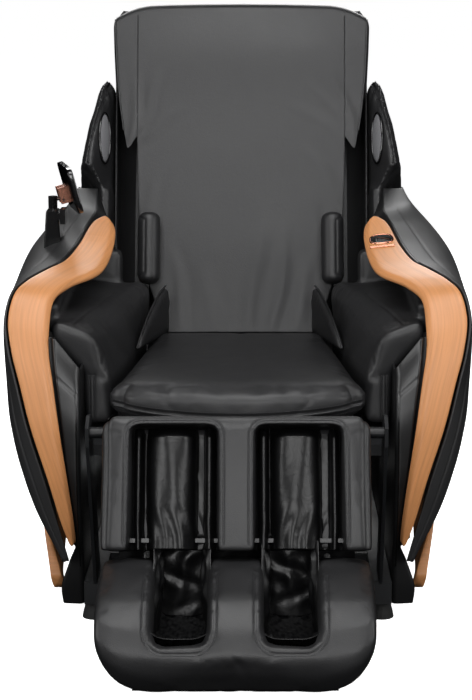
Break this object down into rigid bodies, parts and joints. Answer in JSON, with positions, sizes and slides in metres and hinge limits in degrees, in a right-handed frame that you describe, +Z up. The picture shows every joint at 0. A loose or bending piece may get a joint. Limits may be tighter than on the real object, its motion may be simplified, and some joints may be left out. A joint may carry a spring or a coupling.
{
  "type": "massage chair",
  "caption": "Reclining full-body massage chair with curved side shells, bent wooden arms, calf and foot massage units and a small tablet control.",
  "frame": {"origin": "centre of the whole chair's box in plan, on the floor", "axes": "+Z up, the sitter faces -Y, +X is the sitter's left"},
  "size_m": [0.881, 1.32, 1.1007],
  "materials": {
    "leather": "black polyurethane leatherette, satin",
    "shell_plastic": "black moulded ABS, satin",
    "bent_beech": "bent beech laminate, satin lacquer",
    "painted_steel": "black powder coat",
    "zinc_steel": "zinc plated steel",
    "rubber": "moulded rubber",
    "rose_gold": "rose gold plating",
    "speaker_cloth": "grey speaker cloth",
    "roller_nylon": "cream nylon"
  },
  "bodies": {
    "base": {"base_frame": "painted_steel", "foot_front_left": "rubber", "foot_front_right": "rubber", "foot_rear_left": "rubber", "foot_rear_right": "rubber", "rear_cover": "shell_plastic", "control_box": "shell_plastic", "air_pump": "zinc_steel", "mains_inlet": "shell_plastic", "side_shell_left": "shell_plastic", "side_shell_right": "shell_plastic", "wood_arm_left": "bent_beech", "wood_arm_right": "bent_beech", "wood_sweep_left": "bent_beech", "wood_sweep_right": "bent_beech", "inner_panel_left": "shell_plastic", "inner_panel_right": "shell_plastic", "arm_pad_left": "leather", "arm_pad_right": "leather", "hip_pad_left": "leather", "hip_pad_right": "leather", "seat_pan": "painted_steel", "seat_cushion": "leather", "tablet_post": "shell_plastic", "control_bezel": "rose_gold"},
    "back": {"back_frame": "painted_steel", "back_shell": "shell_plastic", "wing_left": "leather", "wing_right": "leather", "speaker_left": "speaker_cloth", "speaker_right": "speaker_cloth", "back_pad": "leather", "head_cushion": "leather", "waist_pad_left": "leather", "waist_pad_right": "leather"},
    "carriage": {"carriage": "painted_steel", "massage_motor": "zinc_steel"},
    "knead_left": {"knead_arm_left": "zinc_steel"},
    "knead_right": {"knead_arm_right": "zinc_steel"},
    "leg": {"calf_housing": "shell_plastic", "calf_pad": "leather"},
    "foot": {"foot_housing": "shell_plastic", "foot_pad": "leather"},
    "foot_roller_left": {"foot_roller_left": "roller_nylon"},
    "foot_roller_right": {"foot_roller_right": "roller_nylon"},
    "recline_body": {"recline_actuator": "shell_plastic"},
    "recline_rod": {"recline_rod": "zinc_steel"},
    "leg_body": {"leg_actuator": "shell_plastic"},
    "leg_rod": {"leg_rod": "zinc_steel"},
    "tablet_knuckle": {"tablet_knuckle": "shell_plastic"},
    "tablet": {"tablet_bracket": "rose_gold", "tablet": "shell_plastic"},
    "power_switch": {"power_switch": "shell_plastic"},
    "control_rocker": {"control_rocker": "shell_plastic"},
    "wheel_left": {"wheel_left": "rubber"},
    "wheel_right": {"wheel_right": "rubber"},
    "roller_upper_left": {"massage_roller_upper_left": "roller_nylon"},
    "roller_lower_left": {"massage_roller_lower_left": "roller_nylon"},
    "roller_upper_right": {"massage_roller_upper_right": "roller_nylon"},
    "roller_lower_right": {"massage_roller_lower_right": "roller_nylon"}
  },
  "joints": [
    {"name": "back_recline", "type": "hinge", "parent": "base", "child": "back", "pos_m": [0, 0.312, 0.33], "axis": [-1, 0, 0], "range_deg": [0, 48]},
    {"name": "leg_lift", "type": "hinge", "parent": "base", "child": "leg", "pos_m": [0, -0.343, 0.372], "axis": [-1, 0, 0], "range_deg": [0, 80]},
    {"name": "foot_extend", "type": "slide", "parent": "leg", "child": "foot", "axis": [0, -0.342, -0.9397], "range_m": [0, 0.12]},
    {"name": "carriage_travel", "type": "slide", "parent": "back", "child": "carriage", "axis": [0, 0.342, 0.9397], "range_m": [-0.06, 0.3]},
    {"name": "knead_left", "type": "hinge", "parent": "carriage", "child": "knead_left", "pos_m": [0.074, 0.44791, 0.55722], "axis": [1, 0, 0], "range_deg": [-8, 8]},
    {"name": "knead_right", "type": "hinge", "parent": "carriage", "child": "knead_right", "pos_m": [-0.074, 0.44791, 0.55722], "axis": [1, 0, 0], "range_deg": [-8, 8]},
    {"name": "roller_upper_left_spin", "type": "hinge", "parent": "knead_left", "child": "roller_upper_left", "pos_m": [0.074, 0.45357, 0.61369], "axis": [1, 0, 0], "continuous": true},
    {"name": "roller_lower_left_spin", "type": "hinge", "parent": "knead_left", "child": "roller_lower_left", "pos_m": [0.074, 0.41594, 0.51032], "axis": [1, 0, 0], "continuous": true},
    {"name": "roller_upper_right_spin", "type": "hinge", "parent": "knead_right", "child": "roller_upper_right", "pos_m": [-0.074, 0.45357, 0.61369], "axis": [1, 0, 0], "continuous": true},
    {"name": "roller_lower_right_spin", "type": "hinge", "parent": "knead_right", "child": "roller_lower_right", "pos_m": [-0.074, 0.41594, 0.51032], "axis": [1, 0, 0], "continuous": true},
    {"name": "foot_roller_left_spin", "type": "hinge", "parent": "foot", "child": "foot_roller_left", "pos_m": [0.091, -0.508, 0.04], "axis": [1, 0, 0], "continuous": true},
    {"name": "foot_roller_right_spin", "type": "hinge", "parent": "foot", "child": "foot_roller_right", "pos_m": [-0.091, -0.508, 0.04], "axis": [1, 0, 0], "continuous": true},
    {"name": "recline_actuator_pivot", "type": "hinge", "parent": "base", "child": "recline_body", "pos_m": [0.06, -0.058, 0.15], "axis": [1, 0, 0], "range_deg": [-5, 0]},
    {"name": "recline_rod_slide", "type": "slide", "parent": "recline_body", "child": "recline_rod", "axis": [0, 0.9575, 0.2885], "range_m": [-0.067, 0]},
    {"name": "leg_actuator_pivot", "type": "hinge", "parent": "base", "child": "leg_body", "pos_m": [-0.06, -0.058, 0.17], "axis": [1, 0, 0], "range_deg": [-2, 0]},
    {"name": "leg_rod_slide", "type": "slide", "parent": "leg_body", "child": "leg_rod", "axis": [0, -0.9134, 0.407], "range_m": [0, 0.0994]},
    {"name": "tablet_swivel", "type": "hinge", "parent": "base", "child": "tablet_knuckle", "pos_m": [-0.364, 0.113, 0.7265], "axis": [0, 0, 1], "range_deg": [-20, 40]},
    {"name": "tablet_tilt", "type": "hinge", "parent": "tablet_knuckle", "child": "tablet", "pos_m": [-0.34549, 0.11727, 0.7265], "axis": [-0.225, 0.9744, 0], "range_deg": [-20, 15]},
    {"name": "power_switch_rock", "type": "hinge", "parent": "base", "child": "power_switch", "pos_m": [0.118, 0.5565, 0.1025], "axis": [1, 0, 0], "range_deg": [-5, 5]},
    {"name": "control_rock", "type": "hinge", "parent": "base", "child": "control_rocker", "pos_m": [0.281, 0.072, 0.646], "axis": [0, 1, 0], "range_deg": [-3, 3], "stiffness_Nm_per_rad": 0.2},
    {"name": "wheel_left_spin", "type": "hinge", "parent": "base", "child": "wheel_left", "pos_m": [0.226, 0.452, 0.045], "axis": [1, 0, 0], "continuous": true},
    {"name": "wheel_right_spin", "type": "hinge", "parent": "base", "child": "wheel_right", "pos_m": [-0.226, 0.452, 0.045], "axis": [1, 0, 0], "continuous": true}
  ],
  "couplings": [
    {"joint": "knead_right", "follows": "knead_left", "ratio": -1},
    {"joint": "recline_actuator_pivot", "follows": "back_recline", "ratio": -0.0888},
    {"joint": "recline_rod_slide", "follows": "back_recline", "m_per_rad": -0.0788},
    {"joint": "leg_actuator_pivot", "follows": "leg_lift", "ratio": -0.0185},
    {"joint": "leg_rod_slide", "follows": "leg_lift", "m_per_rad": 0.0705}
  ]
}
